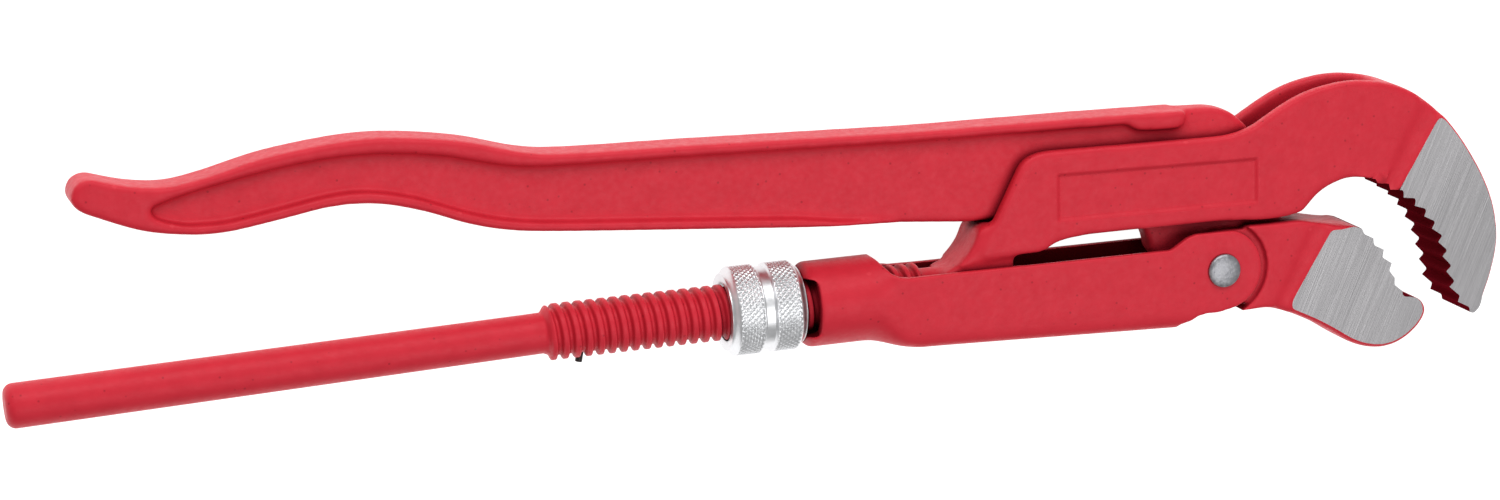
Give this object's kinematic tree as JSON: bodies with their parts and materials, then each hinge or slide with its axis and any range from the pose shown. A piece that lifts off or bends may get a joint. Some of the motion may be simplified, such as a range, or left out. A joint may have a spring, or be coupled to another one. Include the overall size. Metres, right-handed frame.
{
  "type": "pipe wrench",
  "caption": "Swedish-pattern pipe wrench with toothed S-jaws, a screw-adjusted sleeve and nut, a round rod handle and a curved I-section handle.",
  "frame": {"origin": "under the middle of the bounding box, on the surface that the wrench lies on", "axes": "+X along the thread towards the jaws, +Y towards the curved handle, +Z across the thickness, up when the wrench lies flat"},
  "size_m": [0.4196, 0.0886, 0.0244],
  "materials": {
    "red_paint": "satin",
    "chrome": "polished",
    "rivet_steel": "satin",
    "dark_steel": "satin"
  },
  "bodies": {
    "hook_arm": {"hook_arm": "red_paint", "nut_stop_pin": "dark_steel"},
    "sleeve": {"sleeve": "red_paint", "pivot_rivet": "rivet_steel"},
    "nut": {"adjusting_nut": "chrome"},
    "heel_arm": {"heel_arm": "red_paint"}
  },
  "joints": [
    {"name": "sleeve_slide", "type": "slide", "parent": "hook_arm", "child": "sleeve", "axis": [1, 0, 0], "range_m": [-0.037, 0.009]},
    {"name": "nut_turn", "type": "hinge", "parent": "sleeve", "child": "nut", "pos_m": [-0.00583, -0.01412, 0.0122], "axis": [1, 0, 0], "range_deg": [-4100, 1000]},
    {"name": "heel_swing", "type": "hinge", "parent": "sleeve", "child": "heel_arm", "pos_m": [0.12557, -0.01612, 0.0122], "axis": [0, 0, -1], "range_deg": [0, 10]}
  ],
  "couplings": [
    {"joint": "nut_turn", "follows": "sleeve_slide", "rad_per_m": 1933.3}
  ]
}
